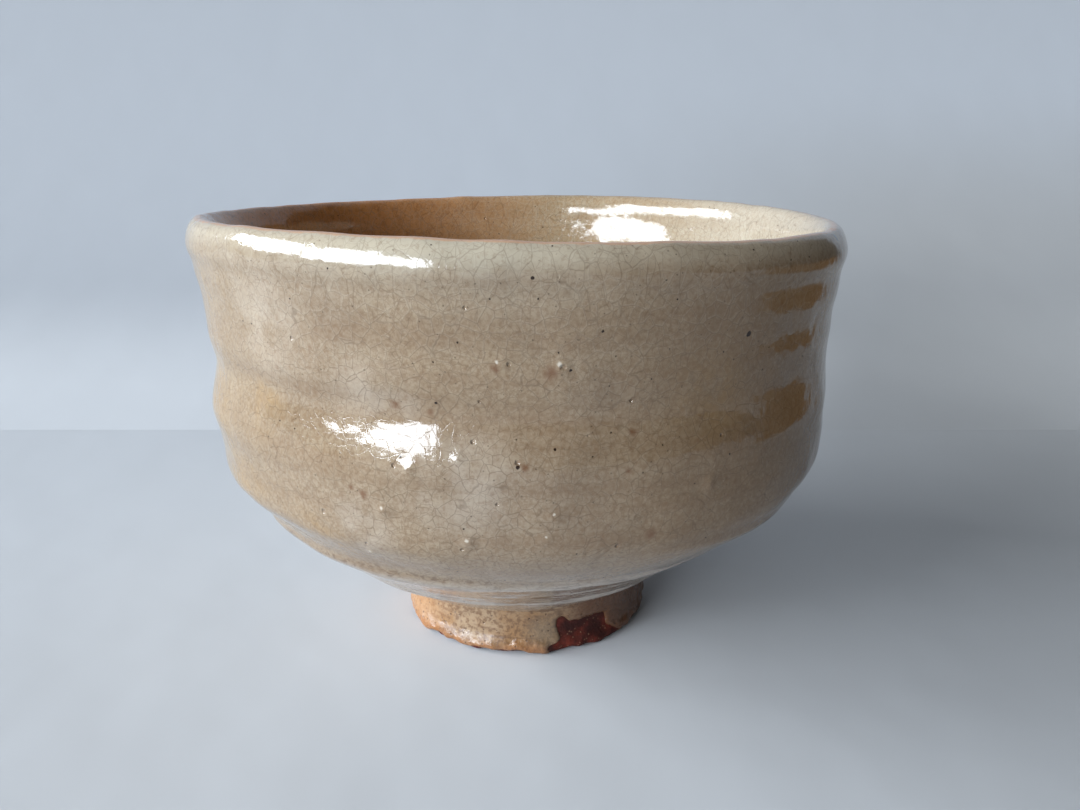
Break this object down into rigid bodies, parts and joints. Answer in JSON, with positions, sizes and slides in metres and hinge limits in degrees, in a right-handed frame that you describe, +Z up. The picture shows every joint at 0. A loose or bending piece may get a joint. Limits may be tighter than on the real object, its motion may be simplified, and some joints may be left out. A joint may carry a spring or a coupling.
{
  "type": "matcha bowl",
  "caption": "Hand-thrown stoneware tea bowl on a low trimmed foot ring, with a rolled lip and a crackled beige glaze, for whisking and drinking powdered tea.",
  "frame": {"origin": "on the surface the bowl stands on, under the axis of its wall", "axes": "+Z up along the axis of the wall; the side with the bare finger mark on the foot faces -Y; the foot is trimmed slightly off the axis, towards +X"},
  "size_m": [0.121, 0.121, 0.083],
  "materials": {
    "bowl_clay": "bare fired stoneware, matt and sandy",
    "foot_clay": "bare iron-bearing stoneware, matt, rough and lumpy",
    "outer_glaze": "glossy transparent beige glaze with fine brown crackle and iron specks",
    "inner_glaze": "glossy warm cream glaze with fine crackle",
    "foot_glaze": "thin satin glaze, tan to orange where it is thinnest"
  },
  "bodies": {
    "root": {"clay_bowl": "bowl_clay", "foot_ring": "foot_clay", "outer_glaze": "outer_glaze", "inner_glaze": "inner_glaze", "foot_glaze": "foot_glaze"}
  },
  "joints": []
}
